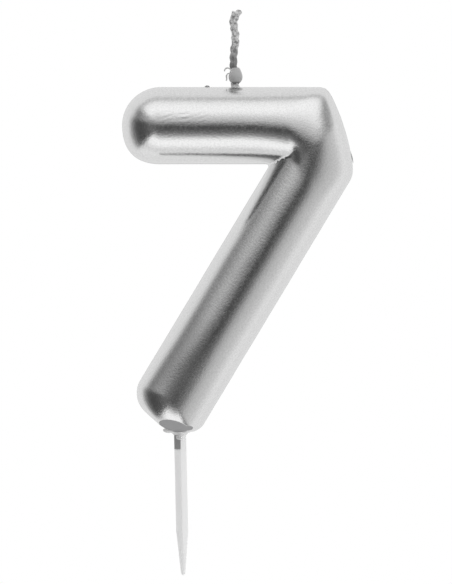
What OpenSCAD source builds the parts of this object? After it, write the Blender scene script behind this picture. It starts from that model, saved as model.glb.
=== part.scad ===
// Number birthday candle: a balloon-shaped numeral 7 cast in wax and coated with silver
// lacquer, with a plaited wick on its bar and a plastic pick under its foot.
// Origin: on the pick's axis, in the plane of the trimmed foot. X runs along the bar, Z up.

/* [Numeral] */
// Height of the numeral above its trimmed foot
numeral_h = 70; // [60:0.5:80]
// Diameter of the round stroke
stroke_d = 15.7; // [15:0.1:17]
// Left end of the bar, measured from the pick
bar_left = -11.9; // [-14:0.1:-10]
// Right end of the bar's top edge, before its corner is rounded
bar_right = 30.8; // [29:0.1:34]
// Lean of the leg from upright, in degrees
leg_lean = 31; // [30:0.5:32]
// Where the leg's axis meets the plane of the foot, measured from the pick
leg_foot_x = -5.2; // [-5.6:0.1:-4.8]
// Lean of the short shoulder between bar and leg, in degrees
shoulder_lean = 17.3; // [15:0.1:20]

/* [Rounding] */
// Outline radius between the bar's top edge and the shoulder
top_corner_r = 3.8; // [3:0.1:4.5]
// Outline radius between the shoulder and the leg
side_corner_r = 7.2; // [5:0.1:9]
// Outline radius in the notch between bar and leg
notch_r = 1.6; // [1:0.1:2.2]
// Outline radius of the foot's left corner
foot_corner_r = 4.5; // [3:0.1:5.5]
// Radius of the foot's edge, seen from the side
foot_edge_r = 5.1; // [4:0.1:6]

/* [Coat] */
// Thickness of the lacquer coat
coat_t = 0.25; // [0.2:0.05:0.35]

/* [Pick] */
// Length of the pick below the foot
pick_len = 29.2; // [24:0.1:40]
// Width of the pick across its corners
pick_w = 2.44; // [2.2:0.02:2.8]
// Length of the pick's tapered point
point_len = 9; // [6:0.5:12]
// Depth of the barbed shank in the wax
shank_len = 13; // [10:0.5:14]
// Lean of the pick from upright, in degrees
pick_lean = 1.3; // [0:0.1:2]

/* [Wick] */
// Where the wick stands along the bar, measured from the pick
wick_x = 11.2; // [10:0.1:13]
// Radius of the wax bead at the wick's base
bead_r = 1.48; // [1.4:0.02:1.6]
// Radius of one yarn of the plait
yarn_r = 0.31; // [0.28:0.01:0.31]
// Depth of the plait in the wax
root_len = 11; // [8:0.5:12]

/* [Hidden] */

$fn = 48;
stroke_r = stroke_d / 2;
bar_z = numeral_h - stroke_r;
tiny = 0.01;

// Directions down the leg, across it to the right, down the shoulder and out of it
leg_down = [-sin(leg_lean), -cos(leg_lean)];
leg_right = [cos(leg_lean), -sin(leg_lean)];
shoulder_down = [sin(shoulder_lean), -cos(shoulder_lean)];
shoulder_out = [cos(shoulder_lean), sin(shoulder_lean)];

function unit(v) = v / norm(v);
function polar(r, a) = [r * cos(a), r * sin(a)];
function leg_at(z) = [leg_foot_x + z * tan(leg_lean), z];

// Where the line through a along u meets the line through b along v
function meet(a, u, b, v) =
    let (w = b - a)
        a + u * (w.x * v.y - w.y * v.x) / (u.x * v.y - u.y * v.x);

// Centre of the arc of radius r that rounds corner p, whose edges have inward normals n1, n2
function arc_centre(p, n1, n2, r) = p + (n1 + n2) * r / (1 + n1 * n2);

// The outline's corners and the arcs that round them
notch = meet([0, numeral_h - stroke_d], [1, 0], leg_at(0) - stroke_r * leg_right, leg_down);
notch_centre = arc_centre(notch, [0, -1], -leg_right, notch_r);
top_corner = [bar_right, numeral_h];
top_centre = arc_centre(top_corner, [0, -1], -shoulder_out, top_corner_r);
side_corner = meet(top_corner, shoulder_down, leg_at(0) + stroke_r * leg_right, leg_down);
side_centre = arc_centre(side_corner, -shoulder_out, -leg_right, side_corner_r);

// The numeral is a skin over ribs that cross the stroke. A rib is [inner end, outer end, half depth].
ring_points = 28;
cap_steps = 9;
foot_steps = 6;
arc_step = 9;

// Ribs of the bar's round left end, t inside the outer surface
function cap_ribs(t) = [
    for (i = [1 : cap_steps])
        let (a = 90 * i / cap_steps, r = (stroke_r - t) * sin(a))
            let (x = bar_left + stroke_r - (stroke_r - t) * cos(a))
                [[x, bar_z - r], [x, bar_z + r], r]
];

// The outer edge from above the notch, round the shoulder, to the side of the leg
function outer_edge() = concat(
    [for (f = [0 : 0.25 : 1]) [notch_centre.x + f * (top_centre.x - notch_centre.x), numeral_h]],
    [for (a = [90 - arc_step : -arc_step : shoulder_lean]) top_centre + polar(top_corner_r, a)],
    [
        for (f = [0 : 0.25 : 0.75])
            let (from = top_centre + top_corner_r * shoulder_out)
                from + f * (side_centre + side_corner_r * shoulder_out - from)
    ],
    [for (a = [shoulder_lean : -arc_step : -leg_lean]) side_centre + polar(side_corner_r, a)],
    [notch_centre + (notch_r + stroke_d) * leg_right]
);

// Ribs that fan out from the notch to the outer edge
function fan_ribs(t) = [
    for (p = outer_edge())
        let (d = unit(p - notch_centre))
            [notch_centre + (notch_r + t) * d, p - t * d, stroke_r - t]
];

// Ribs of the foot: a flat end, a few degrees off square, with rounded corners and edges
foot_end = leg_at(1.7);
foot_tilt = 8;
function inset(r, s) = s < r ? r - sqrt(r * r - (r - s) * (r - s)) : 0;
function foot_ribs(t) = [
    for (i = [0 : foot_steps])
        let (a = 90 * i / foot_steps, s = foot_edge_r * (1 - sin(a)), half = stroke_r - t)
            let (lean = leg_lean + foot_tilt * sin(a), mid = foot_end - (s + t) * leg_down)
                [
                    mid - (half - inset(foot_corner_r, s)) * polar(1, -lean),
                    mid + (half - inset(foot_corner_r / 3, s)) * polar(1, -lean),
                    half - inset(foot_edge_r, s)
                ]
];

// The ellipse through a rib, on both sides of the numeral's middle plane
function rib_ring(rib) = [
    for (k = [0 : ring_points - 1])
        let (a = 360 * k / ring_points, m = (rib[0] + rib[1]) / 2, h = (rib[1] - rib[0]) / 2)
            [m.x + h.x * cos(a), rib[2] * sin(a), m.y + h.y * cos(a)]
];

// Closes a row of rings of n points each; the last ring, and the first, is a flat end
module skin_rings(rings, n) {
    last = len(rings) - 1;
    polyhedron(
        points = [for (r = rings) each r],
        faces = concat(
            [[for (k = [0 : n - 1]) n - 1 - k]],
            [
                for (i = [0 : last - 1], k = [0 : n - 1])
                    let (a = i * n + k, b = i * n + (k + 1) % n)
                        each [[a, b, a + n], [b, b + n, a + n]]
            ],
            [[for (k = [0 : n - 1]) last * n + k]]
        ),
        convexity = 6
    );
}

// The numeral t inside its outer surface, before the foot is trimmed
module numeral(t) {
    ribs = concat(cap_ribs(t), fan_ribs(t), foot_ribs(t));
    skin_rings([for (r = ribs) rib_ring(r)], ring_points);
}

// The foot is trimmed level for the cake, and its front edge is pared off where the wax was poured
pare_y = -4.2;
pare_slope = 42;
trim_size = 30;
module trimmed_numeral(t) {
    difference() {
        numeral(t);
        translate([-trim_size / 2, -trim_size / 2, t - trim_size])
            cube(trim_size);
        translate([0, pare_y, 0])
            rotate([-pare_slope, 0, 0])
                translate([-trim_size / 2, -trim_size, t - trim_size])
                    cube(trim_size);
    }
}

// Wax: the cast core, with the shank's socket and the plait's bore
module wax_body() {
    color("gainsboro")
        difference() {
            trimmed_numeral(coat_t);
            shank(0);
            translate([wick_x, 0, numeral_h - root_len])
                cylinder(r = bore_r, h = root_len + 1);
        }
}

// Silver lacquer: a closed coat, open only where the pick and the wick pass through
module lacquer_skin() {
    color("silver")
        difference() {
            trimmed_numeral(0);
            trimmed_numeral(coat_t);
            shank(0);
            translate([wick_x, 0, numeral_h - 1])
                cylinder(r = bore_r, h = 2);
        }
}

// The pick: a square bar set on edge, its corners dulled, with a flat barbed shank above it
point_tip_r = 0.45;
shank_w = 1.5;
barb_w = 2.1;
barb_h = 2.6;
shank_thick = 1.4;
module pick_section() {
    intersection() {
        rotate(45)
            square(0.76 * pick_w, center = true);
        circle(d = pick_w);
    }
}

// Shank in the wax: barbs that hold it there, each wider below than above
module shank(below) {
    barbs = floor(shank_len / barb_h);
    rotate([0, -pick_lean, 0]) {
        translate([0, 0, -below])
            linear_extrude(shank_len - barbs * barb_h + below + tiny)
                pick_section();
        translate([0, shank_thick / 2, shank_len - barbs * barb_h])
            rotate([90, 0, 0])
                linear_extrude(shank_thick)
                    polygon(concat(
                        [for (i = [0 : barbs - 1]) each [[barb_w / 2, i * barb_h], [shank_w / 2, (i + 1) * barb_h]]],
                        [for (i = [barbs - 1 : -1 : 0]) each [[-shank_w / 2, (i + 1) * barb_h], [-barb_w / 2, i * barb_h]]]
                    ));
    }
}

module pick_stake() {
    color("whitesmoke") {
        shank(pick_len - point_len);
        rotate([0, -pick_lean, 0])
            hull() {
                translate([0, 0, point_len - pick_len])
                    linear_extrude(tiny)
                        pick_section();
                translate([0, 0, point_tip_r - pick_len])
                    sphere(r = point_tip_r, $fn = 24);
            }
    }
}

// Clear wax drawn up round the pick where it leaves the foot
seal_h = 1.2;
seal_r = 2;
module pick_seal() {
    color("ghostwhite")
        difference() {
            rotate_extrude()
                polygon([
                    [0, 0], [seal_r, 0], [seal_r * 0.82, -seal_h * 0.3],
                    [pick_w * 0.58, -seal_h * 0.7], [pick_w * 0.55, -seal_h], [0, -seal_h]
                ]);
            shank(2 * seal_h);
        }
}

// The wick: three yarns in a flat plait. Heights run from the middle of the bead.
bore_r = 1.06;
pivot_z = numeral_h + 2;
plait_pitch = 5.4;
plait_x = 0.6;
plait_y = 0.52;
yarn_sides = 8;
yarn_step = 0.45;
free_start = bead_r + 0.3;
root_end = bead_r - 0.38;

// Height and sideways place of the wick's middle line, as it is bent by hand
sway = [[0, 0], [3, -0.35], [5, -0.25], [7, 0], [9, 0], [11, -0.3], [12.4, 0], [14, 0.3]];
function ease(f) = f * f * (3 - 2 * f);
function wick_sway(h) =
    h <= 0 ? 0
    : let (i = max([for (j = [0 : len(sway) - 2]) sway[j].x <= h ? j : 0]))
        sway[i].y + (sway[i + 1].y - sway[i].y) * ease((h - sway[i].x) / (sway[i + 1].x - sway[i].x));

// Middle of yarn i at height h; the last stretch of the third yarn is splayed to the right
splay_start = 12;
splay_x = 0.75;
function yarn_at(i, h) =
    let (a = 360 * (h / plait_pitch + i / 3), splay = i == 3 ? max(0, h - splay_start) : 0)
        [
            wick_x + wick_sway(h) + plait_x * sin(a) + splay_x * splay * splay,
            plait_y * sin(2 * a),
            pivot_z + h
        ];

// A ring of n points about p, square to the direction d
function tube_ring(p, d, r, n) =
    let (u = unit(cross([0, 1, 0], d)), v = unit(cross(d, u)))
        [for (k = [0 : n - 1]) p + r * (cos(360 * k / n) * u + sin(360 * k / n) * v)];

module yarn(i, from, to) {
    steps = ceil((to - from) / yarn_step);
    skin_rings([
        for (s = [0 : steps])
            let (h = from + (to - from) * s / steps)
                tube_ring(yarn_at(i, h), yarn_at(i, h + tiny) - yarn_at(i, h - tiny), yarn_r, yarn_sides)
    ], yarn_sides);
}

// The plait's root, cast in the wax and held by the bead
module wick_root() {
    color("linen")
        for (i = [1 : 3])
            yarn(i, numeral_h + 0.3 - root_len - pivot_z, root_end);
}

// Heights of the three cut ends above the middle of the bead
yarn_tops = [13.3, 13.65, 13.2];
module wick_yarn_1() { color("lightgray") yarn(1, free_start, yarn_tops[0]); }
module wick_yarn_2() { color("darkgray") yarn(2, free_start, yarn_tops[1]); }
module wick_yarn_3() { color("gray") yarn(3, free_start, yarn_tops[2]); }

// The bead: a drop of lacquered wax on a short neck, round the plait
neck_r = 1.2;
module wick_bead() {
    color("silver")
        difference() {
            union() {
                translate([wick_x, 0, pivot_z])
                    sphere(r = bead_r);
                translate([wick_x, 0, numeral_h - 0.2])
                    cylinder(r = neck_r, h = 1.5);
            }
            translate([wick_x - 5, 0, bar_z])
                rotate([0, 90, 0])
                    cylinder(r = stroke_r, h = 10, $fn = 180);
            translate([wick_x, 0, numeral_h - 1])
                cylinder(r = bore_r, h = 6);
        }
}

// Two frayed fibres that stand out of the bead's front, clear of the wick as it bends: points from
// the bead's middle
fibre_r = 0.14;
fibre_sides = 6;
upper_fibre = [
    [-0.62, -1.05, 0.65], [-0.85, -1.15, 1.3], [-1.3, -1.15, 1.75],
    [-1.75, -1.15, 1.75], [-2.05, -1.15, 1.5], [-2.15, -1.15, 1.1]
];
lower_fibre = [
    [-0.95, -0.85, 0.5], [-1.3, -1.05, 0.7], [-1.6, -1.15, 0.5],
    [-1.75, -1.15, 0.1], [-1.7, -1.1, -0.4], [-1.8, -1, -0.8]
];
module fibre(line) {
    last = len(line) - 1;
    skin_rings([
        for (i = [0 : last])
            let (p = line[i] + [wick_x, 0, pivot_z], d = line[min(i + 1, last)] - line[max(i - 1, 0)])
                tube_ring(p, d, fibre_r, fibre_sides)
    ], fibre_sides);
}
module wick_loose_threads() {
    color("gainsboro") {
        fibre(upper_fibre);
        fibre(lower_fibre);
    }
}

wax_body();
lacquer_skin();
pick_stake();
pick_seal();
wick_root();
wick_bead();
wick_loose_threads();
wick_yarn_1();
wick_yarn_2();
wick_yarn_3();
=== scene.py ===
"""Number birthday candle: a silver lacquered numeral 7 with its plaited wick and plastic pick.

Every shape is modelled in millimetres and turned to metres when its piece is finished.
"""

import logging
import math
from dataclasses import dataclass
from enum import Enum

import bpy
import numpy as np
from bpy.types import Curve, Material, Node, NodeSocket, NodeTree, Object
from mathutils import Matrix, Vector, noise


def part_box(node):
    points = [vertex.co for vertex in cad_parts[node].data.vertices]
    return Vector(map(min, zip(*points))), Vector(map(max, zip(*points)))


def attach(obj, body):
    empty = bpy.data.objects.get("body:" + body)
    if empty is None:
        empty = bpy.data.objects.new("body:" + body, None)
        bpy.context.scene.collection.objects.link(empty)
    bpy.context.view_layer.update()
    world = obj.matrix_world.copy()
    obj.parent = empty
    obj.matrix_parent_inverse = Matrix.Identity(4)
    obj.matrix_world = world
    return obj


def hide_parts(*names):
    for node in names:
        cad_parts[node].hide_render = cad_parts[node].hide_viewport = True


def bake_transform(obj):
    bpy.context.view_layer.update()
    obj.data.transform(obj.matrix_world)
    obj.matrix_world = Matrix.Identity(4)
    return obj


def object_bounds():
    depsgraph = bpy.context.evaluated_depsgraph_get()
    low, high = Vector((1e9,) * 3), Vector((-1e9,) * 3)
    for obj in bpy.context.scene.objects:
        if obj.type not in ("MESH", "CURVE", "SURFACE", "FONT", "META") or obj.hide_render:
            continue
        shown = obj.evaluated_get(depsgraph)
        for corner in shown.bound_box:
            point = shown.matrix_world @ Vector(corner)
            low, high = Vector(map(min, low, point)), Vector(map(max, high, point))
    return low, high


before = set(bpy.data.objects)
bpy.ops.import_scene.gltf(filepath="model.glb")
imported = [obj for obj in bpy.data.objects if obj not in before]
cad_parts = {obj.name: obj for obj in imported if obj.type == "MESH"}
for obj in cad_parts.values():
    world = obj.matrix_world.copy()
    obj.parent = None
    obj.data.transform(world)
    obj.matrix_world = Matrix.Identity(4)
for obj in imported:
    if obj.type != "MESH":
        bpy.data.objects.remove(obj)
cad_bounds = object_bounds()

Triple = tuple[float, float, float]
Pairs = tuple[tuple[float, float], ...]
MM = 0.001
WHITE = (1.0, 1.0, 1.0, 1.0)
log = logging.getLogger("candle")


class Body(Enum):
    """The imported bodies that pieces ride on."""

    CANDLE = "candle"
    WICK = "wick"


class Facing(Enum):
    """Which way a new ring faces, as the turn of a flat circle in radians."""

    ALONG_X = (0.0, math.pi / 2, 0.0)
    ALONG_Z = (0.0, 0.0, 0.0)


# -------- shared helpers


def linear(tone: float) -> float:
    """Turn an sRGB tone from 0 to 1 to linear light."""
    return tone / 12.92 if tone <= 0.04045 else ((tone + 0.055) / 1.055) ** 2.4


def colour(code: str) -> tuple[float, float, float, float]:
    """Turn an sRGB hex code to a linear colour.

    Args:
        code: Six hex digits, such as "d8d8da".

    Returns:
        Linear red, green, blue and full alpha.
    """
    red, green, blue = (linear(int(code[i:i + 2], 16) / 255) for i in (0, 2, 4))
    return (red, green, blue, 1.0)


def cad_box(node: str) -> tuple[Vector, Vector]:
    """Lowest and highest corners of a CAD node, in millimetres."""
    low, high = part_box(node)
    return low / MM, high / MM


def add_node(tree: NodeTree, kind: str, inputs: dict | None = None, **settings: object) -> Node:
    """Add one node with its settings, values and links.

    Args:
        tree: The node tree of a material or the world.
        kind: The node's type name.
        inputs: Input name or index to a value, or to the output that it is linked from.
        **settings: The node's own properties.

    Returns:
        The new node.
    """
    made = tree.nodes.new(kind)
    for name, value in settings.items():
        setattr(made, name, value)
    for key, value in (inputs or {}).items():
        if isinstance(value, NodeSocket):
            tree.links.new(value, made.inputs[key])
        else:
            made.inputs[key].default_value = value
    return made


def new_material(name: str) -> tuple[Material, NodeTree, NodeSocket]:
    """Make an empty material and return it with its tree and its coordinates on the object."""
    material = bpy.data.materials.new(name)
    material.use_nodes = True
    tree = material.node_tree
    tree.nodes.clear()
    return material, tree, add_node(tree, "ShaderNodeTexCoord").outputs["Object"]


def ramp(tree: NodeTree, factor: NodeSocket, stops: list[tuple[float, float]]) -> NodeSocket:
    """Pass a value through a grey ramp.

    Args:
        tree: The tree to add to.
        factor: The value that the ramp reads.
        stops: Places from 0 to 1 with the grey value at each.

    Returns:
        The ramp's colour output.
    """
    made = add_node(tree, "ShaderNodeValToRGB", {"Fac": factor})
    elements = made.color_ramp.elements
    for index, (place, grey) in enumerate(stops):
        stop = elements[index] if index < 2 else elements.new(place)
        stop.position = place
        stop.color = (grey, grey, grey, 1.0)
    return made.outputs["Color"]


def map_range(
    tree: NodeTree, value: NodeSocket, low: float, high: float,
    to_low: float = 0.0, to_high: float = 1.0, **settings: object,
) -> NodeSocket:
    """Stretch the range low to high onto to_low to to_high, and stop at its ends."""
    ends = {"From Min": low, "From Max": high, "To Min": to_low, "To Max": to_high}
    return add_node(tree, "ShaderNodeMapRange", {"Value": value, **ends}, **settings).outputs["Result"]


def mix(tree: NodeTree, factor: NodeSocket, a: tuple | NodeSocket, b: tuple | NodeSocket) -> NodeSocket:
    """Mix two colours, with more of the second as the factor grows from 0 to 1."""
    inputs = {"Factor": factor, "A": a, "B": b}
    return add_node(tree, "ShaderNodeMix", inputs, data_type="RGBA").outputs["Result"]


def calculate(tree: NodeTree, operation: str, *values: float | NodeSocket) -> NodeSocket:
    """Add one math node and return its value."""
    inputs = dict(enumerate(values))
    return add_node(tree, "ShaderNodeMath", inputs, operation=operation).outputs["Value"]


def lumps(
    tree: NodeTree, place: NodeSocket, size: float, detail: float = 2.0, roughness: float = 0.5
) -> NodeSocket:
    """Add noise from 0 to 1 whose lumps are a size in millimetres wide."""
    inputs = {"Vector": place, "Scale": 1 / (size * MM), "Detail": detail, "Roughness": roughness}
    return add_node(tree, "ShaderNodeTexNoise", inputs).outputs["Fac"]


def bump(
    tree: NodeTree, height: NodeSocket, strength: float, depth: float, **under: NodeSocket
) -> NodeSocket:
    """Turn a height to a relief, its depth in millimetres, on top of the one given as Normal."""
    inputs = {"Height": height, "Strength": strength, "Distance": depth * MM, **under}
    return add_node(tree, "ShaderNodeBump", inputs).outputs["Normal"]


def shade(tree: NodeTree, inputs: dict) -> None:
    """End a material's tree in one principled surface with the given inputs."""
    shader = add_node(tree, "ShaderNodeBsdfPrincipled", inputs)
    add_node(tree, "ShaderNodeOutputMaterial", {"Surface": shader.outputs["BSDF"]})


def select_only(piece: Object) -> None:
    """Deselect everything, then select and activate one object."""
    if bpy.context.mode != "OBJECT":
        bpy.ops.object.mode_set(mode="OBJECT")
    bpy.ops.object.select_all(action="DESELECT")
    piece.select_set(True)
    bpy.context.view_layer.objects.active = piece


def apply_modifier(piece: Object, kind: str, **settings: object) -> None:
    """Add a modifier with its settings and apply it.

    Args:
        piece: The mesh object.
        kind: The modifier's type name.
        **settings: The modifier's properties.
    """
    select_only(piece)
    bpy.ops.object.modifier_add(type=kind)
    modifier = piece.modifiers[-1]
    for name, value in settings.items():
        setattr(modifier, name, value)
    bpy.ops.object.modifier_apply(modifier=modifier.name)


def read_points(piece: Object) -> np.ndarray:
    """The mesh's points as rows of x, y, z."""
    points = np.empty(len(piece.data.vertices) * 3)
    piece.data.vertices.foreach_get("co", points)
    return points.reshape(-1, 3)


def write_points(piece: Object, points: np.ndarray) -> None:
    """Put rows of x, y, z back into the mesh."""
    piece.data.vertices.foreach_set("co", points.ravel())
    piece.data.update()


def roughen(piece: Object, depth: float, size: float, low: float, high: float) -> None:
    """Push points along their normals by smooth noise that grows with height.

    Args:
        piece: The mesh object, in millimetres.
        depth: The most that a point moves.
        size: The width of one lump.
        low: The height that they grow from; below it a quarter of their depth is left.
        high: The height where they are full.
    """
    least = 0.25
    points = read_points(piece)
    normals = np.empty(points.size)
    piece.data.vertices.foreach_get("normal", normals)
    grow = np.clip((points[:, 2] - low) / (high - low), least, 1.0)
    push = np.array([noise.noise(Vector(point) / size) for point in points])
    write_points(piece, points + normals.reshape(-1, 3) * (depth * grow * push)[:, None])


def finish_piece(
    piece: Object,
    materials: list[Material],
    stands_for: tuple[str, ...] = (),
    smooth_angle: float = 180.0,
    body: Body | None = Body.CANDLE,
) -> None:
    """Turn a modelled mesh to metres, dress it, hang it on its body and hide the CAD nodes that it
    replaces.

    Args:
        piece: The mesh object, in millimetres, at the origin.
        materials: Its materials, in slot order.
        stands_for: The CAD nodes that it replaces.
        smooth_angle: Edges sharper than this many degrees stay crisp.
        body: The body that it rides on, or None to hang it on none.
    """
    select_only(piece)
    piece.scale = (MM, MM, MM)
    bpy.ops.object.transform_apply(location=True, rotation=True, scale=True)
    bpy.ops.object.shade_smooth_by_angle(angle=math.radians(smooth_angle))
    for material in materials:
        piece.data.materials.append(material)
    if body is not None:
        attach(piece, body.value)
    if stands_for:
        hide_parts(*stands_for)
    log.info("%s: %d faces", piece.name, len(piece.data.polygons))


def dress_node(name: str, material: Material) -> None:
    """Give a CAD node that stays a better material."""
    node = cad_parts[name]
    node.data.materials.clear()
    node.data.materials.append(material)
    log.info("%s: dressed", name)


class Loft:
    """A closed tube modelled by hand: one ring, extruded, moved, turned and scaled in steps."""

    def __init__(self, name: str, centre: Triple, radius: float, sides: int, facing: Facing) -> None:
        """Start with one ring.

        Args:
            name: The finished object's name.
            centre: The ring's middle.
            radius: The ring's radius.
            sides: How many points it has.
            facing: Which way it faces.
        """
        if bpy.context.mode != "OBJECT":
            bpy.ops.object.mode_set(mode="OBJECT")
        bpy.ops.object.select_all(action="DESELECT")
        bpy.ops.mesh.primitive_circle_add(
            vertices=sides, radius=radius, location=centre, rotation=facing.value
        )
        self.piece = bpy.context.object
        self.piece.name = name
        bpy.ops.object.transform_apply(location=True, rotation=True, scale=True)
        bpy.ops.object.mode_set(mode="EDIT")
        bpy.ops.mesh.select_all(action="SELECT")
        self.centre = Vector(centre)

    def step(
        self,
        move: Triple = (0.0, 0.0, 0.0),
        grow: float = 1.0,
        turn: float = 0.0,
        about: Triple | None = None,
    ) -> None:
        """Extrude the ring once and place the new one.

        Args:
            move: How far it goes.
            grow: How much it grows about its middle.
            turn: How far it turns to the right about Y, in degrees.
            about: The point that it turns about.
        """
        bpy.ops.mesh.extrude_region_move(TRANSFORM_OT_translate={"value": move})
        self.centre += Vector(move)
        if grow != 1.0:
            bpy.ops.transform.resize(value=(grow, grow, grow), center_override=self.centre)
        if turn:
            angle = math.radians(turn)
            bpy.ops.transform.rotate(value=-angle, orient_axis="Y", center_override=about)
            turned = Matrix.Rotation(angle, 3, "Y") @ (self.centre - Vector(about))
            self.centre = Vector(about) + turned

    def close(self, levels: int = 2) -> Object:
        """Close both ends with a flat face, point every face outwards and smooth the shape.

        Args:
            levels: How often each face is divided.

        Returns:
            The mesh object, in object mode.
        """
        bpy.ops.mesh.select_all(action="DESELECT")
        bpy.ops.mesh.select_mode(type="EDGE")
        bpy.ops.mesh.select_non_manifold(
            extend=False, use_wire=False, use_boundary=True,
            use_multi_face=False, use_non_contiguous=False, use_verts=False,
        )
        bpy.ops.mesh.edge_face_add()
        bpy.ops.mesh.select_all(action="SELECT")
        bpy.ops.mesh.normals_make_consistent(inside=False)
        apply_modifier(self.piece, "SUBSURF", levels=levels, render_levels=levels)
        return self.piece


def new_cords(name: str, radius: float, resolution: int) -> Curve:
    """Start a curve whose splines become round cords with closed ends."""
    path = bpy.data.curves.new(name, "CURVE")
    path.dimensions, path.use_fill_caps = "3D", True
    path.bevel_depth, path.bevel_resolution = radius, resolution
    return path


def cord_mesh(name: str, path: Curve) -> Object:
    """Turn a curve of cords to a mesh object."""
    piece = bpy.data.objects.new(name, path)
    bpy.context.scene.collection.objects.link(piece)
    select_only(piece)
    bpy.ops.object.convert(target="MESH")
    return bpy.context.object


# -------- finishes


@dataclass(frozen=True)
class SilverLacquer:
    """Sprayed silver lacquer on cast wax: a soft mirror with a fine aluminium flake."""

    dull: float = 0.82
    bright: float = 0.9
    roughness: float = 0.185
    # A real flake is some hundredths of a millimetre; it is drawn coarser so that it shows
    flake_mm: float = 0.4
    flake_depth: float = 0.019
    peel_mm: float = 2.4
    peel_depth: float = 0.06

    def make(self) -> Material:
        """Build the material: flake grain over a faint orange peel, both in the bump."""
        material, tree, place = new_material("silver_lacquer_sprayed")
        flake = lumps(tree, place, self.flake_mm, roughness=0.6)
        peel = bump(tree, lumps(tree, place, self.peel_mm, 1.0), 0.1, self.peel_depth)
        gloss = map_range(tree, flake, 0.3, 0.7, self.roughness - 0.03, self.roughness + 0.04)
        shade(tree, {
            "Base Color": ramp(tree, flake, [(0.35, self.dull), (0.65, self.bright)]),
            "Metallic": 1.0, "Roughness": gloss,
            "Normal": bump(tree, flake, 1.0, self.flake_depth, Normal=peel),
        })
        return material


@dataclass(frozen=True)
class ParedLacquer:
    """Lacquer over the knife-trimmed end: dull, even grey with fine cutting marks."""

    tint: str = "b4b4b5"
    mark_mm: float = 0.35

    def make(self) -> Material:
        """Build the material: fine parallel knife marks in the bump."""
        material, tree, place = new_material("pared_lacquer_dull")
        stretch = add_node(
            tree, "ShaderNodeMapping",
            {"Vector": place, "Scale": (0.25, 1.0, 1.0), "Rotation": (0.0, 0.2, 0.0)},
        ).outputs["Vector"]
        marks = lumps(tree, stretch, self.mark_mm, 3.0)
        shade(tree, {
            "Base Color": colour(self.tint), "Metallic": 0.7, "Roughness": 0.55,
            "Normal": bump(tree, marks, 0.35, 0.03),
        })
        return material


@dataclass(frozen=True)
class CastWax:
    """Cast paraffin wax: milky white, with light that sinks in and a soft gloss."""

    tint: str = "efece4"
    crystal_tint: str = "fbfaf6"
    crystal_mm: float = 3.0

    def make(self) -> Material:
        """Build the material: cloudy paraffin crystals a few millimetres across."""
        material, tree, place = new_material("paraffin_wax_cast")
        cloud = lumps(tree, place, self.crystal_mm, 3.0)
        shade(tree, {
            "Base Color": mix(tree, cloud, colour(self.tint), colour(self.crystal_tint)),
            "Roughness": 0.42, "Subsurface Weight": 0.25, "Subsurface Scale": 1.5 * MM,
            "Subsurface Radius": (1.0, 0.9, 0.8), "IOR": 1.44,
        })
        return material


@dataclass(frozen=True)
class ClearWax:
    """Clear wax that ran down round the pick: glassy, slightly cloudy, bright at its edge, with a faint
    painted glow.
    """

    tint: str = "f6f6f6"
    ripple_mm: float = 0.6

    def make(self) -> Material:
        """Build the material: clear, wet looking, with a faint ripple and a faint painted glow."""
        material, tree, place = new_material("clear_wax_glossy")
        ripple = lumps(tree, place, self.ripple_mm, 1.0)
        # Painted glow: a faint white emission brightens the clear wax, which is no lamp
        shade(tree, {
            "Base Color": colour(self.tint), "Roughness": 0.12, "IOR": 1.43,
            "Transmission Weight": 0.25, "Emission Color": WHITE, "Emission Strength": 0.08,
            "Normal": bump(tree, ripple, 0.15, 0.05),
        })
        return material


@dataclass(frozen=True)
class MouldedPick:
    """Milky polystyrene: an even satin white with a faint painted glow, and painted shade, a grey
    shadow and dark reflection of the foot, on its upper left face just under the wax.

    Attributes:
        foot_shade_z: The height that the painted shade reaches down to, in millimetres.
        fade: Half the height over which it fades out.
        foot_shade_sides: The x where its right side ends and the x from where it is full.
    """

    tint: str = "fafafa"
    foot_shade_tint: str = "b6b6b6"
    foot_shade_z: float = -3.6
    fade: float = 0.12
    foot_shade_sides: tuple[float, float] = (0.25, 0.05)
    draw_mm: float = 0.25

    def make(self) -> Material:
        """Build the material: draw lines along the pick, a faint painted glow, and painted grey shade
        on its upper left face.
        """
        material, tree, place = new_material("polystyrene_moulded")
        lines = add_node(
            tree, "ShaderNodeMapping", {"Vector": place, "Scale": (1.0, 1.0, 0.05)}
        ).outputs["Vector"]
        grain = bump(tree, lumps(tree, lines, self.draw_mm), 0.15, 0.02)
        # Painted shade: grey is mixed in on the upper left face just under the wax, for the foot's
        # shadow and dark reflection
        split = add_node(tree, "ShaderNodeSeparateXYZ", {"Vector": place})
        high = map_range(
            tree, split.outputs["Z"],
            (self.foot_shade_z - self.fade) * MM, (self.foot_shade_z + self.fade) * MM,
        )
        ends, full = self.foot_shade_sides
        left = map_range(tree, split.outputs["X"], ends * MM, full * MM)
        # Painted glow: a faint white emission lifts the plastic's brightness
        plastic = add_node(
            tree, "ShaderNodeBsdfPrincipled",
            {"Base Color": colour(self.tint), "Roughness": 0.4, "IOR": 1.59,
             "Subsurface Weight": 0.4, "Subsurface Scale": 2.0 * MM,
             "Subsurface Radius": (1.0, 1.0, 1.0),
             "Emission Color": WHITE, "Emission Strength": 0.2, "Normal": grain},
        )
        # Painted shade: this flat grey stands for the foot's shadow and dark reflection on the pick
        silver = add_node(
            tree, "ShaderNodeBsdfPrincipled",
            {"Base Color": colour(self.foot_shade_tint), "Roughness": 0.5, "Normal": grain},
        )
        mixed = add_node(
            tree, "ShaderNodeMixShader",
            {0: calculate(tree, "MULTIPLY", high, left),
             1: plastic.outputs["BSDF"], 2: silver.outputs["BSDF"]},
        )
        add_node(tree, "ShaderNodeOutputMaterial", {"Surface": mixed.outputs["Shader"]})
        return material


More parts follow.
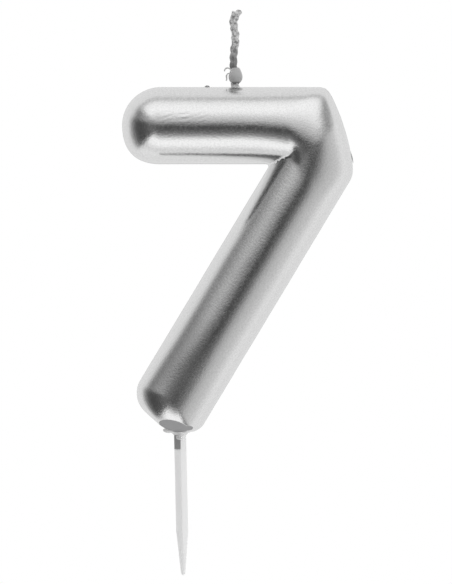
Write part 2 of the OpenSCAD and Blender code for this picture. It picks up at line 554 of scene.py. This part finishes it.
@dataclass(frozen=True)
class LacqueredYarn:
    """Cotton yarn dipped in silver: dark between its fibres, bright where lacquer clots."""

    tint: str = "909090"
    low_z: float = 74.0
    high_z: float = 79.5
    clot_mm: float = 0.55

    def make(self) -> Material:
        """Build the material: darker and plainer low down, mottled and bright near the top."""
        material, tree, place = new_material("silver_dipped_cotton")
        split = add_node(tree, "ShaderNodeSeparateXYZ", {"Vector": place})
        height = map_range(tree, split.outputs["Z"], self.low_z * MM, self.high_z * MM)
        clots = lumps(tree, place, self.clot_mm, roughness=0.6)
        speck = ramp(tree, clots, [(0.38, 0.45), (0.5, 0.8), (0.58, 1.0)])
        shade(tree, {
            "Base Color": mix(tree, height, colour(self.tint), speck),
            "Metallic": 0.3, "Roughness": 0.45, "Normal": bump(tree, clots, 0.5, 0.08),
        })
        return material


@dataclass(frozen=True)
class LacqueredWax:
    """A lacquered wax drop: satin grey, softer than the numeral's mirror."""

    tone: float = 0.72
    foot_z: float = 69.9
    neck_height: float = 1.2
    pore_mm: float = 0.3

    def make(self) -> Material:
        """Build the material: even satin silver, painted shade darkening the neck under the drop's
        bulge, and a painted highlight brightening the clear wax at its foot.
        """
        material, tree, place = new_material("silver_lacquer_satin")
        split = add_node(tree, "ShaderNodeSeparateXYZ", {"Vector": place})
        neck_z = self.foot_z + self.neck_height
        neck = map_range(tree, split.outputs["Z"], self.foot_z * MM, neck_z * MM)
        # Painted light in the ramp: bright at the foot for a painted highlight on the clear wax, dark
        # just above for painted shade under the drop
        stops = [(0.0, 0.9), (0.42, 0.9), (0.58, 0.22), (0.8, 0.3), (1.0, self.tone)]
        pores = lumps(tree, place, self.pore_mm)
        shade(tree, {
            "Base Color": ramp(tree, neck, stops), "Metallic": 0.1, "Roughness": 0.7,
            "Normal": bump(tree, pores, 0.3, 0.02),
        })
        return material


@dataclass(frozen=True)
class FrayedCotton:
    """Loose cotton fibre, stiff with a little lacquer: pale grey and matt."""

    shade_tint: str = "dcdcdc"
    light_tint: str = "ffffff"
    twist_mm: float = 0.25

    def make(self) -> Material:
        """Build the material: grey fibre with darker twists."""
        material, tree, place = new_material("cotton_fibre_frayed")
        twist = lumps(tree, place, self.twist_mm, 1.0)
        tone = mix(tree, twist, colour(self.shade_tint), colour(self.light_tint))
        shade(tree, {"Base Color": tone, "Roughness": 0.6})
        return material


# -------- the numeral


def soft_max(a: np.ndarray, b: np.ndarray, width: float | np.ndarray) -> np.ndarray:
    """The greater of two levels, with the corner between them rounded over a width."""
    near = np.maximum(width - np.abs(a - b), 0.0) / width
    return np.maximum(a, b) + near * near * width / 4


def round_edge(a: np.ndarray, b: np.ndarray, radius: float | np.ndarray) -> np.ndarray:
    """Distance outside both of two skins, with the edge where they meet rounded to a radius."""
    a, b = a + radius, b + radius
    return np.hypot(np.maximum(a, 0), np.maximum(b, 0)) - radius + np.minimum(np.maximum(a, b), 0)


@dataclass
class NumeralForm:
    """The inflated stroke of the 7 as a rule: how far any point lies outside its skin.

    The stroke runs along a level bar, down a short shoulder and down the leaning leg. A point's
    level is its signed distance from the stroke's middle line, positive on the outer side.

    Attributes:
        radius, top, left: The stroke's radius, and the numeral's highest and leftmost places.
        corner_x: Where the shoulder's edge meets the top.
        leg_lean, leg_foot_x, shoulder_lean: Leans in degrees, and the leg's middle at z = 0.
        corner_soft, corner_swell: Rounding of the top corner, and what is added to it round the
            level swell_level, as far as swell_reach from it.
        notch_soft: Rounding of the crease between bar and leg.
        shoulder_flat, inner_slope, inner_fall: How the shoulder flattens outwards and falls inwards.
        bar_sag, corner_sag: How far the bar's ridge lies under its middle at the left and, from
            sag_start over sag_length up to sag_limit, towards the corner.
        hold_top, hold_under: How firmly the bar's upper and under outlines stay in place.
        heel_fullness: How much blunter the bar's left end is than a half ball.
        foot_height, foot_tilt, foot_round, foot_dome: Height, tilt and rounding of the foot.
        trim_z, trim_round: Where the foot is trimmed level, and the rounding there.
        taper, taper_length: How much thinner the leg is at its foot, and over what length.
    """

    radius: float
    top: float
    left: float
    corner_x: float = 30.8
    leg_lean: float = 31.0
    leg_foot_x: float = -5.2
    shoulder_lean: float = 17.3
    corner_soft: float = 2.8
    corner_swell: float = 3.0
    swell_level: float = 2.5
    swell_reach: float = 5.4
    notch_soft: float = 1.0
    shoulder_flat: float = 0.36
    inner_slope: float = 0.6
    inner_fall: float = 0.045
    bar_sag: float = 0.4
    corner_sag: float = 0.9
    sag_start: float = 12.0
    sag_length: float = 12.0
    sag_limit: float = 1.2
    hold_top: int = 2
    hold_under: int = 6
    heel_fullness: float = 0.19
    foot_height: float = 1.6
    foot_tilt: float = 10.0
    foot_round: float = 4.0
    foot_dome: float = 1.8
    trim_z: float = -0.15
    trim_round: float = 1.7
    taper: float = 0.15
    taper_length: float = 23.0

    def __post_init__(self) -> None:
        """Work out the directions and joints of the stroke."""
        lean, shoulder = math.radians(self.leg_lean), math.radians(self.shoulder_lean)
        self.leg_right = np.array([math.cos(lean), -math.sin(lean)])
        self.leg_down = np.array([-math.sin(lean), -math.cos(lean)])
        self.shoulder_out = np.array([math.cos(shoulder), math.sin(shoulder)])
        self.bar_z = self.top - self.radius
        self.cap_x = self.left + self.radius
        slope = math.tan(lean)
        notch_z = self.top - 2 * self.radius
        edge_x = self.leg_foot_x - self.radius / math.cos(lean)
        self.notch = np.array([edge_x + notch_z * slope, notch_z])
        end_lean = math.radians(self.leg_lean + self.foot_tilt)
        self.foot_point = np.array([self.leg_foot_x + self.foot_height * slope, self.foot_height])
        self.foot_out = np.array([-math.sin(end_lean), -math.cos(end_lean)])

    def level(self, flat: np.ndarray) -> np.ndarray:
        """Work out how far points lie from the stroke's middle line.

        Args:
            flat: Rows of x, z.

        Returns:
            The signed distance of each, positive on the outer side.
        """
        bar = flat[:, 1] - self.bar_z
        near = np.clip((flat[:, 0] - self.left) / self.radius, 0, 1)
        far = np.clip((flat[:, 0] - self.sag_start) / self.sag_length, 0, self.sag_limit)
        ratio = np.clip(bar / self.radius, -1, 1)
        held = np.where(ratio > 0, ratio**self.hold_top, ratio**self.hold_under)
        sag = self.bar_sag * near**2 + self.corner_sag * far**2 * (1 - ratio)
        bar = bar + sag * (1 - held)
        leg = (flat - np.array([self.leg_foot_x, 0.0])) @ self.leg_right
        edge = (flat - np.array([self.corner_x, self.top])) @ self.shoulder_out
        shoulder = edge + self.radius
        inner = shoulder * (self.inner_slope + self.inner_fall * shoulder**2)
        outer = shoulder * (1 - self.shoulder_flat * (1 - shoulder / self.radius))
        shoulder = np.where(shoulder < 0, inner, outer)
        straight = soft_max(bar, leg, self.notch_soft)
        swell = np.clip(1 - ((straight - self.swell_level) / self.swell_reach) ** 2, 0, 1)
        return soft_max(straight, shoulder, self.corner_soft + self.corner_swell * swell)

    def unevenness(self, points: np.ndarray) -> np.ndarray:
        """The slow waviness of a hand-finished casting, a few hundredths of a millimetre.

        Args:
            points: Rows of x, y, z.

        Returns:
            How far the skin lies in from its smooth place, for each point.
        """
        x, y, z = points.T
        drag_x, drag_z, drag_length, drag_height = 0.5, 63.6, 4.5, 0.9
        slow_depth, quick_depth, drag_depth = 0.014, 0.003, 0.028
        slow = np.sin(x / 3.1 + z / 4.3 + 0.4) * np.sin(z / 3.7 - x / 5.9 + y / 4.0)
        quick = np.sin(x / 1.3 - z / 1.9 + 1.1) * np.sin(z / 1.1 + y / 1.7)
        # Drag marks in the lacquer lie on one spot of the bar's front, near its left end
        spot = np.exp(-(((x - drag_x) / drag_length) ** 2) - ((z - drag_z) / drag_height) ** 2)
        drag = spot * np.sin(7.0 * (z - 0.22 * x) + 1.3 * np.sin(x / 1.1)) * (1 + np.sin(x * 1.7))
        return slow_depth * slow + quick_depth * quick + drag_depth * drag

    def outside(self, points: np.ndarray) -> np.ndarray:
        """Work out how far points lie outside the skin.

        Args:
            points: Rows of x, y, z.

        Returns:
            The distance of each, negative inside.
        """
        flat = points[:, (0, 2)]
        level = self.level(flat)
        on_bar = flat[:, 1] > self.notch[1] - self.radius
        past = np.where(on_bar, np.maximum(self.cap_x - flat[:, 0], 0.0), 0.0)
        past = past * (1 - self.heel_fullness * (np.minimum(level, 0) / self.radius) ** 2)
        end = (flat - self.foot_point) @ self.foot_out
        thin = np.clip(1 + end / self.taper_length, 0, 1)
        depth = 1 - self.taper * thin * thin * (3 - 2 * thin)
        side = np.sqrt(level**2 + (points[:, 1] / depth) ** 2 + past**2) - self.radius
        side = side + self.unevenness(points)
        blunt = self.foot_round + self.foot_dome * np.clip((points[:, 1] / self.radius) ** 2, 0, 1)
        return round_edge(round_edge(side, end, blunt), self.trim_z - flat[:, 1], self.trim_round)

    def settle(self, points: np.ndarray, inset: float) -> np.ndarray:
        """Slide points straight onto the skin, or onto a skin some way inside it.

        Args:
            points: Rows of x, y, z near the skin.
            inset: How far inside the outer skin they end.

        Returns:
            The moved points.
        """
        step, rounds, flattest, farthest = 0.002, 14, 0.05, 1.5
        for _ in range(rounds):
            here = self.outside(points) + inset
            slope = np.stack([
                (self.outside(points + step * axis) + inset - here) / step for axis in np.eye(3)
            ], axis=1)
            size = np.maximum((slope**2).sum(axis=1), flattest)
            move = -here[:, None] * slope / size[:, None]
            points = points + np.clip(move, -farthest, farthest)
        return points


@dataclass
class Numeral:
    """The lacquered numeral: its coat, the wax inside, mould flash and one lacquer drip.

    Attributes:
        coat: The lacquer's thickness.
        sides: How many points go round the stroke.
        level_cut: The height at which the foot is cut level.
        pares: The knife cuts at the foot: x of each, its lean to the right and its slope to the
            front in degrees.
        pare_y: The y at which each knife cut meets the height zero.
        flashes: Slivers of flash, as name, width and the x and z of points along it.
    """

    form: NumeralForm
    lacquer: Material
    pared: Material
    wax: Material
    coat: float = 0.25
    sides: int = 40
    level_cut: float = 0.03
    pares: tuple[Triple, ...] = ((0.0, -10.0, 34.0), (2.6, 16.0, 36.0))
    pare_y: float = -2.6
    flashes: tuple[tuple[str, float, Pairs], ...] = (
        ("mould_flash_shoulder", 0.1, ((34.5, 57.3), (34.85, 56.2), (35.08, 55.3), (35.2, 54.4))),
        ("mould_flash_heel", 0.07, (
            (-10.9, 58.6), (-10.3, 57.6), (-9.3, 56.4), (-8.0, 55.4), (-6.6, 54.7), (-5.4, 54.45),
        )),
        ("mould_flash_foot", 0.09, ((-7.15, 4.55), (-6.6, 3.8), (-6.0, 3.1), (-5.2, 2.4), (-4.5, 1.9))),
    )

    def rough_tube(self, name: str) -> Object:
        """Extrude a ring along the bar, round the notch and down the leg.

        Args:
            name: The object's name.

        Returns:
            The closed tube, near the numeral's skin.
        """
        form = self.form
        turn_x, turn_z = form.notch[0] - 2.8, form.notch[1] - 1.6
        bar_steps, turn_steps, leg_steps, cap_steps = 14, 24, 40, 7
        pole, first_angle, end_power = 0.05, 0.125333, 0.6
        size, place = pole, -form.radius * math.cos(first_angle)
        tube = Loft(
            name, (form.cap_x + place, 0.0, form.bar_z), form.radius * pole, self.sides, Facing.ALONG_X
        )
        for i in range(1, cap_steps + 1):
            angle = math.pi / 2 * i / cap_steps
            new_place, new_size = -form.radius * math.cos(angle), math.sin(angle)
            tube.step((new_place - place, 0.0, 0.0), new_size / size)
            place, size = new_place, new_size
        for _ in range(bar_steps):
            tube.step(((turn_x - form.cap_x) / bar_steps, 0.0, 0.0))
        for _ in range(turn_steps):
            tube.step(turn=(90 + form.leg_lean) / turn_steps, about=(turn_x, 0.0, turn_z))
        leg_length = (tube.centre.z - form.foot_height) / math.cos(math.radians(form.leg_lean))
        down = Vector((form.leg_down[0], 0.0, form.leg_down[1]))
        straight = leg_length - form.foot_round
        for _ in range(leg_steps):
            tube.step(tuple(down * straight / leg_steps))
        size = 1.0
        for i in range(1, cap_steps + 1):
            angle = math.pi / 2 * i / cap_steps
            new_size = max(math.cos(angle) ** end_power, pole)
            tube.step(tuple(down * form.foot_round / cap_steps), new_size / size)
            size = new_size
        return tube.close()

    def skin(self, name: str, inset: float) -> Object:
        """Make one closed skin of the numeral and trim its foot.

        Args:
            name: The object's name.
            inset: How far inside the outer surface it lies.

        Returns:
            The mesh object, in millimetres.
        """
        piece = self.rough_tube(name)
        write_points(piece, self.form.settle(read_points(piece), inset))
        self.cut(piece, Vector((0.0, 0.0, inset + self.level_cut)), Vector((0.0, 0.0, -1.0)))
        for across, lean, slope in self.pares:
            turn, tip = math.radians(lean), math.radians(slope)
            outward = Vector((
                math.sin(turn), -math.cos(turn) * math.sin(tip), -math.cos(turn) * math.cos(tip),
            ))
            self.cut(piece, Vector((across, self.pare_y, 0.0)) - outward * inset, outward)
        return piece

    def cut(self, piece: Object, place: Vector, outward: Vector) -> None:
        """Slice off what lies beyond a plane and close the cut with a flat face.

        Args:
            piece: The mesh object.
            place: A point on the plane.
            outward: The direction of the part that is cut off.
        """
        select_only(piece)
        bpy.ops.object.mode_set(mode="EDIT")
        bpy.ops.mesh.select_mode(type="VERT")
        bpy.ops.mesh.select_all(action="SELECT")
        bpy.ops.mesh.bisect(
            plane_co=place, plane_no=outward, use_fill=True, clear_outer=True, threshold=0.001
        )
        bpy.ops.object.mode_set(mode="OBJECT")
        nearly_on, nearly_along = 0.01, 0.999
        for face in piece.data.polygons:
            on_plane = abs((face.center - place).dot(outward)) < nearly_on
            if on_plane and face.normal.dot(outward) > nearly_along:
                face.material_index = 1

    def flash(self, name: str, width: float, line: Pairs) -> None:
        """Build a thin sliver of wax that the mould's joint left on the outline.

        Args:
            name: The object's name.
            width: How far it stands out.
            line: The x and z of its middle, from end to end.
        """
        tip = size = 0.04
        sliver = Loft(name, (line[0][0], 0.0, line[0][1]), tip, 8, Facing.ALONG_Z)
        for i in range(1, len(line)):
            swell = width * math.sin(math.pi * i / (len(line) - 1)) + tip
            sliver.step((line[i][0] - line[i - 1][0], 0.0, line[i][1] - line[i - 1][1]), swell / size)
            size = swell
        finish_piece(sliver.close(levels=1), [self.lacquer])

    def build(self) -> None:
        """Build and dress the coat, the wax, the flash and the drip."""
        crisp = 40.0
        coat = self.skin("numeral_coat", 0.0)
        finish_piece(coat, [self.lacquer, self.pared], ("lacquer_skin",), crisp)
        core = self.skin("numeral_wax", self.coat)
        finish_piece(core, [self.wax, self.wax], ("wax_body",), crisp)
        for name, width, line in self.flashes:
            self.flash(name, width, line)
        drip = Loft("lacquer_drip", (5.5, 0.0, self.form.top - 0.1), 0.62, 16, Facing.ALONG_Z)
        for rise, grow in ((0.18, 0.9), (0.16, 0.75), (0.12, 0.5)):
            drip.step((0.02, 0.0, rise), grow)
        finish_piece(drip.close(), [self.pared])


# -------- the wick


@dataclass
class Wick:
    """The silver dipped plait, its bead of wax and the frayed fibres beside it.

    Attributes:
        x, pivot_z: The middle of the bead, where the wick bends.
        pitch, plait_x, plait_y: One turn of the plait, and its yarns' swing across and through.
        fibre_r, fibre_orbit, fibres: Radius, distance from the yarn's middle and number of fibres.
        loose_r: Radius of a loose fibre.
        twist_pitch: One turn of the fibres in a yarn.
        start, tops: The height where the yarns start and where each ends.
        sway: Heights with the plait's lean to the right there.
        splay_start, splay: From where and how strongly the third yarn's end bends away.
        clots: Clots of lacquer as lines of x, height and thickness in fibre radii.
        bend_length: Over what height the plait takes up the bend; not used.
    """

    yarn_finish: Material
    bead_finish: Material
    fibre_finish: Material
    x: float = 11.2
    pivot_z: float = 72.0
    pitch: float = 5.4
    plait_x: float = 0.42
    plait_y: float = 0.36
    fibre_r: float = 0.18
    fibre_orbit: float = 0.26
    fibres: int = 7
    loose_r: float = 0.17
    twist_pitch: float = 2.6
    start: float = 0.4
    tops: Triple = (13.3, 13.65, 13.2)
    sway: Pairs = (
        (0.0, 0.0), (3.0, -0.35), (5.0, -0.25), (7.0, 0.0), (9.0, 0.0), (11.0, -0.3),
        (12.4, 0.0), (14.0, 0.3),
    )
    splay_start: float = 12.0
    splay: float = 0.45
    clots: tuple[tuple[Triple, ...], ...] = (
        ((-0.3, 10.4, 3.4), (-0.2, 11.6, 4.2), (-0.1, 12.3, 4.5), (0.0, 12.8, 4.0), (0.5, 13.05, 3.0),
         (1.0, 13.2, 2.2), (1.35, 13.15, 1.4)),
        ((-0.65, 10.9, 2.6), (-0.72, 11.5, 3.2), (-0.45, 12.1, 3.0)),
        ((-0.05, 0.6, 3.2), (-0.3, 2.4, 4.1), (-0.3, 4.5, 4.1), (-0.12, 6.0, 4.0), (0.0, 7.2, 3.8),
         (0.0, 9.0, 3.6), (-0.2, 10.6, 3.4)),
    )
    bend_length: float = 2.4

    def lean(self, height: float) -> float:
        """How far the plait's middle stands to the right at a height above the bead."""
        for (low, from_x), (high, to_x) in zip(self.sway, self.sway[1:]):
            if height <= high:
                f = (height - low) / (high - low)
                return from_x + (to_x - from_x) * f * f * (3 - 2 * f)
        return self.sway[-1][1]

    def yarn_point(self, index: int, height: float) -> Vector:
        """Middle of one yarn of the plait at a height above the bead.

        Args:
            index: The yarn, 0 to 2.
            height: Millimetres above the bead's middle.

        Returns:
            The point in millimetres.
        """
        angle = 2 * math.pi * (height / self.pitch + (index + 1) / 3)
        over = max(0.0, height - self.splay_start) if index == 2 else 0.0
        return Vector((
            self.x + self.lean(height) + self.plait_x * math.sin(angle) + self.splay * over * over,
            self.plait_y * math.sin(2 * angle),
            self.pivot_z + height,
        ))

    def plait(self) -> None:
        """Twist fibres into three yarns, fuse them to a plait and clot its top with lacquer."""
        path = new_cords("wick_fibre_paths", self.fibre_r, 1)
        steps, round_core = 90, self.fibres - 1
        for index, top in enumerate(self.tops):
            for strand in range(self.fibres):
                spline = path.splines.new("POLY")
                spline.points.add(steps)
                for i in range(steps + 1):
                    height = self.start + (top - self.start) * i / steps
                    angle = 2 * math.pi * (height / self.twist_pitch + strand / round_core)
                    orbit = self.fibre_orbit if strand < round_core else 0.0
                    offset = Vector((math.cos(angle), math.sin(angle), 0.0)) * orbit
                    spline.points[i].co = (*(self.yarn_point(index, height) + offset), 1.0)
        for clot in self.clots:
            spline = path.splines.new("POLY")
            spline.points.add(len(clot) - 1)
            for point, (across, height, swell) in zip(spline.points, clot):
                point.co = (self.x + across, 0.0, self.pivot_z + height, 1.0)
                point.radius = swell
        piece = cord_mesh("wick_plait", path)
        apply_modifier(piece, "REMESH", mode="VOXEL", voxel_size=0.055)
        apply_modifier(piece, "SMOOTH", iterations=9, factor=0.6)
        roughen(piece, 0.22, 0.7, self.pivot_z + 4, self.pivot_z + 8)
        apply_modifier(piece, "SMOOTH", iterations=4, factor=0.5)
        finish_piece(
            piece, [self.yarn_finish],
            ("wick_yarn_1", "wick_yarn_2", "wick_yarn_3"), body=None,
        )
        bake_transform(piece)

    def bead(self) -> None:
        """Shape the bead of lacquered wax on its narrow neck."""
        height, radius, neck_top, neck_shift = 0.0, 1.35, 1.3, -0.125
        drop = Loft("wick_bead_drop", (self.x + 0.22, 0.0, 69.6), radius, 32, Facing.ALONG_Z)
        stations = (
            (0.3, 1.15), (0.42, 0.9), (0.58, 0.64), (0.8, 0.55), (1.08, 0.66), (1.35, 0.98),
            (1.65, 1.24), (2.05, 1.4), (2.5, 1.45), (2.95, 1.38), (3.45, 1.2), (3.9, 1.0),
            (4.25, 0.84), (4.42, 0.55),
        )
        for new_height, new_radius in stations:
            shift = neck_shift * (new_height - height) if new_height < neck_top else 0.0
            drop.step((shift, 0.0, new_height - height), new_radius / radius)
            height, radius = new_height, new_radius
        finish_piece(drop.close(), [self.bead_finish], ("wick_bead",))

    def loose_threads(self) -> None:
        """Bend the frayed fibres that stand out of the bead's front."""
        fibres = (
            ((-0.62, -1.05, 0.65), (-0.85, -1.15, 1.3), (-1.3, -1.15, 1.75), (-1.75, -1.15, 1.75),
             (-2.05, -1.15, 1.5), (-2.15, -1.15, 1.1)),
            ((-0.95, -0.85, 0.5), (-1.3, -1.05, 0.7), (-1.6, -1.15, 0.5), (-1.75, -1.15, 0.1),
             (-1.7, -1.1, -0.4), (-1.8, -1.0, -0.8)),
        )
        path = new_cords("frayed_fibre_path", self.loose_r, 2)
        for points in fibres:
            spline = path.splines.new("BEZIER")
            spline.bezier_points.add(len(points) - 1)
            for i, (bezier, point) in enumerate(zip(spline.bezier_points, points)):
                bezier.co = Vector(point) + Vector((self.x, 0.0, self.pivot_z))
                bezier.handle_left_type = bezier.handle_right_type = "AUTO"
                bezier.radius = 1.0 - 0.5 * abs(2 * i / len(points) - 1)
        piece = cord_mesh("wick_frayed_fibres", path)
        finish_piece(piece, [self.fibre_finish], ("wick_loose_threads",))

    def build(self) -> None:
        """Build and dress every piece of the wick."""
        self.plait()
        self.bead()
        self.loose_threads()
        dress_node("wick_root", self.fibre_finish)


# -------- the pick


@dataclass
class Pick:
    """The plastic pick and the clear wax drawn up round it.

    Attributes:
        seal_r: The seal's radius at the foot.
        seal_steps: Its further rings, as the way down to each and its radius.
        drops: Drops of clear wax, as place and half sizes.
    """

    plastic: Material
    clear: Material
    seal_r: float = 2.3
    seal_steps: Pairs = ((0.1, 2.1), (0.15, 1.75), (0.2, 1.5), (0.2, 1.36), (0.15, 1.2))
    drops: tuple[tuple[Triple, Triple], ...] = (
        ((-0.12, -1.1, -1.15), (0.66, 0.45, 0.5)),
        ((-2.2, -1.2, 0.3), (1.25, 1.0, 0.55)),
    )

    def build(self) -> None:
        """Dress the pick and build its seal."""
        dress_node("pick_stake", self.plastic)
        seal = Loft("pick_clear_seal", (0.0, 0.0, 0.0), self.seal_r, 40, Facing.ALONG_Z)
        radius = self.seal_r
        for down, new_radius in self.seal_steps:
            seal.step((0.0, 0.0, -down), new_radius / radius)
            radius = new_radius
        finish_piece(seal.close(), [self.clear], ("pick_seal",))
        for index, (place, size) in enumerate(self.drops, start=1):
            bpy.ops.object.select_all(action="DESELECT")
            bpy.ops.mesh.primitive_uv_sphere_add(segments=32, ring_count=16, radius=1.0, location=place)
            piece = bpy.context.object
            piece.name = f"clear_wax_drop_{index}"
            piece.scale = size
            bpy.ops.object.transform_apply(location=True, rotation=True, scale=True)
            finish_piece(piece, [self.clear])


# -------- the studio


@dataclass(frozen=True)
class Card:
    """A wedge of the light tent round the lens, with its brightness by angle from the lens.

    Attributes:
        clock: Where the wedge starts, in degrees round the lens from the right, upwards.
        blend: Over how many degrees it takes over from the wedge before it.
        stops: Degrees from the lens axis and the sRGB tone there.
    """

    clock: float
    blend: float
    stops: Pairs


SIDE_CARD = ((0, .18), (14, .29), (24, .44), (34, .61), (48, .70), (70, .75), (85, .82), (96, .855))


@dataclass
class Studio:
    """A white light tent with soft boxes above and below the lens, and the camera.

    Attributes:
        lacquer_gives_back: The share of light that the lacquer reflects, so that a card's tone
            is the tone it leaves on the lacquer.
        tent_tone, back_tone: Tones of the tent behind the cards and of its far end.
        tent_ends: Degrees from the lens where the tent starts, where its far end starts to
            take over, and where it has.
        cards: The wedges after the side card, which starts at the right.
        frame_centre, frame_height: Middle and height of what the lens sees.
        floor_radius, floor_gap: Radius of the floor and its gap below the pick, in metres.
    """

    lacquer_gives_back: float = 0.86
    tent_tone: float = 0.84
    back_tone: float = 0.6
    tent_ends: Triple = (118, 164, 172)
    cards: tuple[Card, ...] = (
        Card(26, 10, ((0, .18), (20, .58), (40, .60), (64, .54), (90, .60), (104, .84))),
        Card(42, 14, ((0, .18), (6, .42), (13, .58), (20, .73), (28, .77), (37, .89), (48, .945),
                      (66, .92), (75, .86), (82, .73), (88, .69), (95, .83))),
        Card(126, 24, ((0, .18), (12, .41), (24, .535), (34, .615), (44, .615), (60, .545),
                       (72, .475), (80, .48), (88, .60), (98, .78), (106, .82))),
        Card(156, 16, ((0, .21), (8, .30), (28, .375), (40, .33), (52, .275), (72, .26),
                       (84, .37), (95, .53), (103, .70), (110, .81))),
        Card(218, 14, ((0, .18), (12, .32), (20, .41), (27, .56), (34, .80), (42, .95),
                       (56, .945), (64, .90), (73, .80), (80, .82), (96, .87))),
        Card(288, 10, ((0, .18), (20, .38), (50, .42), (80, .50), (100, .82))),
        Card(300, 12, SIDE_CARD),
    )
    frame_centre: tuple[float, float] = (9.35, 28.35)
    frame_height: float = 118.67
    lens_mm: float = 200.0
    sensor_mm: float = 36.0
    floor_radius: float = 1.2
    floor_gap: float = 0.012

    def card_tone(self, tree: NodeTree, angle: NodeSocket, stops: Pairs) -> NodeSocket:
        """One card's light by angle from the lens.

        Args:
            tree: The world's tree.
            angle: The angle from the lens axis, 0 to 1 for half a turn.
            stops: Degrees and tones.

        Returns:
            The light as a colour.
        """
        ends = tuple(zip(self.tent_ends, (self.tent_tone, self.tent_tone, self.back_tone)))
        lit = [
            (degrees / 180, linear(tone) / self.lacquer_gives_back) for degrees, tone in stops + ends
        ]
        return ramp(tree, angle, lit)

    def light(self) -> None:
        """Build the light tent as the world, which the camera itself sees as plain white."""
        world = bpy.data.worlds.new("light_tent")
        bpy.context.scene.world = world
        world.use_nodes = True
        tree = world.node_tree
        tree.nodes.clear()
        way = add_node(tree, "ShaderNodeTexCoord").outputs["Generated"]
        split = add_node(tree, "ShaderNodeSeparateXYZ", {"Vector": way})
        towards = calculate(tree, "MULTIPLY", split.outputs["Y"], -1.0)
        part = calculate(tree, "DIVIDE", calculate(tree, "ARCCOSINE", towards), math.pi)
        clock = calculate(tree, "ARCTAN2", split.outputs["Z"], split.outputs["X"])
        turned = calculate(tree, "ADD", clock, 2 * math.pi)
        round_clock = calculate(tree, "MODULO", turned, 2 * math.pi)
        seen = self.card_tone(tree, part, SIDE_CARD)
        for card in self.cards:
            start, end = math.radians(card.clock), math.radians(card.clock + card.blend)
            share = map_range(tree, round_clock, start, end, interpolation_type="SMOOTHSTEP")
            seen = mix(tree, share, seen, self.card_tone(tree, part, card.stops))
        path = add_node(tree, "ShaderNodeLightPath")
        shown = mix(tree, path.outputs["Is Camera Ray"], seen, WHITE)
        background = add_node(tree, "ShaderNodeBackground", {"Color": shown})
        add_node(tree, "ShaderNodeOutputWorld", {"Surface": background.outputs["Background"]})

    def floor(self, low_z: float) -> None:
        """Lay a plain white floor under the point of the pick.

        Args:
            low_z: The object's lowest point in metres.
        """
        bpy.ops.object.select_all(action="DESELECT")
        bpy.ops.mesh.primitive_circle_add(
            vertices=96, radius=self.floor_radius, fill_type="NGON",
            location=(0.0, 0.0, low_z - self.floor_gap),
        )
        piece = bpy.context.object
        piece.name = "studio_floor"
        material, tree, _ = new_material("floor_white")
        glow = add_node(tree, "ShaderNodeEmission", {"Color": WHITE, "Strength": 1.0})
        add_node(tree, "ShaderNodeOutputMaterial", {"Surface": glow.outputs["Emission"]})
        piece.data.materials.append(material)
        piece.visible_glossy = piece.visible_diffuse = False
        piece.visible_transmission = piece.visible_shadow = False

    def camera(self) -> None:
        """Aim a long lens straight at the numeral's face."""
        data = bpy.data.cameras.new("product_camera")
        data.lens = self.lens_mm
        data.sensor_width = self.sensor_mm
        data.clip_start, data.clip_end = 0.01, 10.0
        away = self.frame_height * MM * self.lens_mm / self.sensor_mm
        camera = bpy.data.objects.new("product_camera", data)
        camera.location = (self.frame_centre[0] * MM, -away, self.frame_centre[1] * MM)
        camera.rotation_euler = (math.pi / 2, 0.0, 0.0)
        bpy.context.scene.collection.objects.link(camera)
        bpy.context.scene.camera = camera
        bpy.context.scene.view_settings.view_transform = "Standard"


def main() -> None:
    """Build the studio and every sub-assembly of the candle."""
    logging.basicConfig(level=logging.INFO)
    studio = Studio()
    studio.camera()
    studio.light()
    studio.floor(cad_bounds[0][2])
    low, high = cad_box("lacquer_skin")
    thinner, inside = 0.03, 0.02
    form = NumeralForm(
        radius=(high.y - low.y) / 2 - thinner, top=high.z - inside, left=low.x + inside
    )
    Numeral(form, SilverLacquer().make(), ParedLacquer().make(), CastWax().make()).build()
    Wick(LacqueredYarn().make(), LacqueredWax().make(), FrayedCotton().make()).build()
    Pick(MouldedPick().make(), ClearWax().make()).build()


if __name__ == "__main__":
    main()
